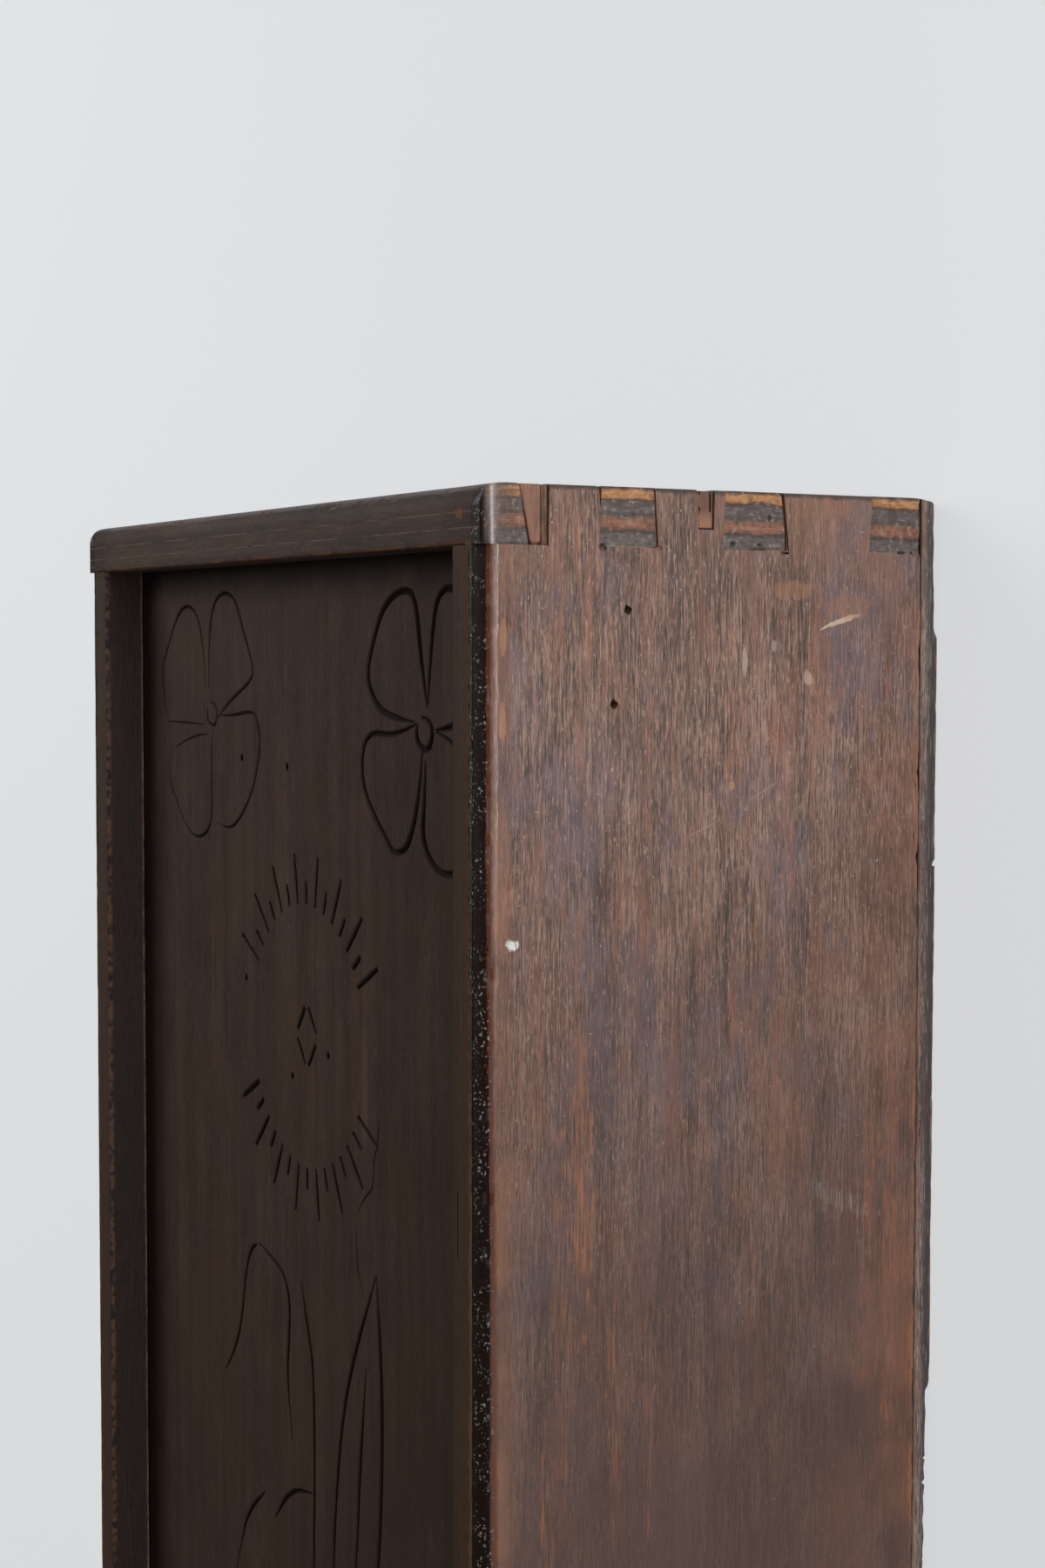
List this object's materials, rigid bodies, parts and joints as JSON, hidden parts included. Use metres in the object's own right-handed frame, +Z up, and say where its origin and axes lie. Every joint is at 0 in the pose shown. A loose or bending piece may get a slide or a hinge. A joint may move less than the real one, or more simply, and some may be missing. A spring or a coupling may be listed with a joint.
{
  "type": "candle box",
  "caption": "Dovetailed wooden candle box, lying on its bottom board, with a carved flat lid that slides out of its mouth end in grooves.",
  "frame": {"origin": "middle of the bottom board's underside, with the box lying on that board", "axes": "+X along the box to its closed end, -X out of the mouth that the lid slides through, +Y across the box, +Z up through the face of the lid"},
  "size_m": [0.36, 0.222, 0.112],
  "materials": {
    "side_wood": "old stain and wax, worn",
    "end_wood": "old stain and wax, worn",
    "bottom_wood": "dry and greyed, worn",
    "lid_wood": "dark old stain, incised",
    "strip_wood": "old stain",
    "wedge_wood": "bare, rubbed",
    "nail_iron": "rusted black"
  },
  "bodies": {
    "carcass": {"bottom_board": "bottom_wood", "near_side_board": "side_wood", "far_side_board": "side_wood", "closed_end_board": "end_wood", "mouth_end_board": "end_wood", "near_corner_strip": "strip_wood", "far_corner_strip": "strip_wood", "near_corner_wedge": "wedge_wood", "far_corner_wedge": "wedge_wood", "tail_wedge": "wedge_wood", "near_side_nails": "nail_iron", "far_side_nails": "nail_iron", "closed_end_nails": "nail_iron", "mouth_end_nails": "nail_iron"},
    "lid": {"lid_panel": "lid_wood"}
  },
  "joints": [
    {"name": "lid_slide", "type": "slide", "parent": "carcass", "child": "lid", "axis": [-1, 0, 0], "range_m": [0, 0.34]}
  ]
}
